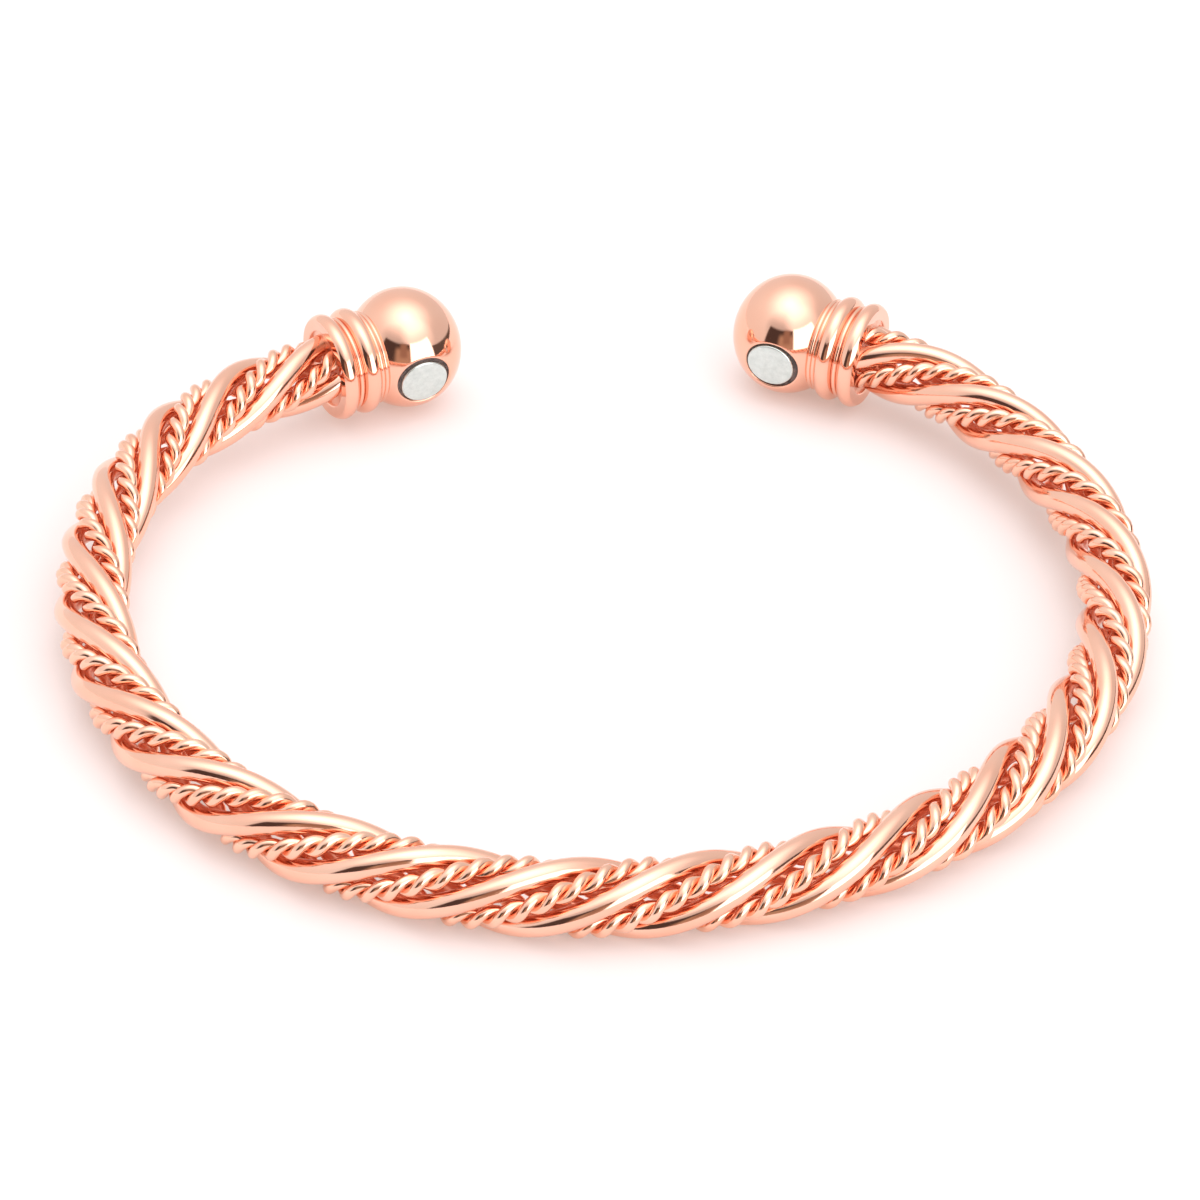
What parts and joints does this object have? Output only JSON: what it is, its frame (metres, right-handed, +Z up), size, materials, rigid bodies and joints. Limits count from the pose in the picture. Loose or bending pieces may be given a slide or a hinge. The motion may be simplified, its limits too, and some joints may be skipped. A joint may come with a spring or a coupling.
{
  "type": "magnetic cuff bracelet",
  "caption": "Open cuff bracelet of smooth wires laid up with twisted wire pairs, ended by turned ball caps, each with a disc magnet that faces the wrist; it clips round the wrist.",
  "frame": {"origin": "middle of the bounding box's bottom face, on the surface that the bracelet lies on", "axes": "+Z up, square to the surface; the middle of the C's front is at -Y, its two ball caps are at +Y, and X runs across the opening"},
  "size_m": [0.0739, 0.0675, 0.0088],
  "materials": {
    "polished_cap": "mirror-polished rose-gold copper",
    "smooth_wire": "mirror-polished rose-gold copper wire",
    "twisted_wire": "polished rose-gold copper fine wire",
    "magnet": "nickel-plated, finely ground, satin"
  },
  "bodies": {
    "root": {"cap_left": "polished_cap", "cap_right": "polished_cap", "magnet_left": "magnet", "magnet_right": "magnet", "smooth_wire_1": "smooth_wire", "smooth_wire_2": "smooth_wire", "smooth_wire_3": "smooth_wire", "twisted_pair_1": "twisted_wire", "twisted_pair_2": "twisted_wire", "twisted_pair_3": "twisted_wire"}
  },
  "joints": []
}
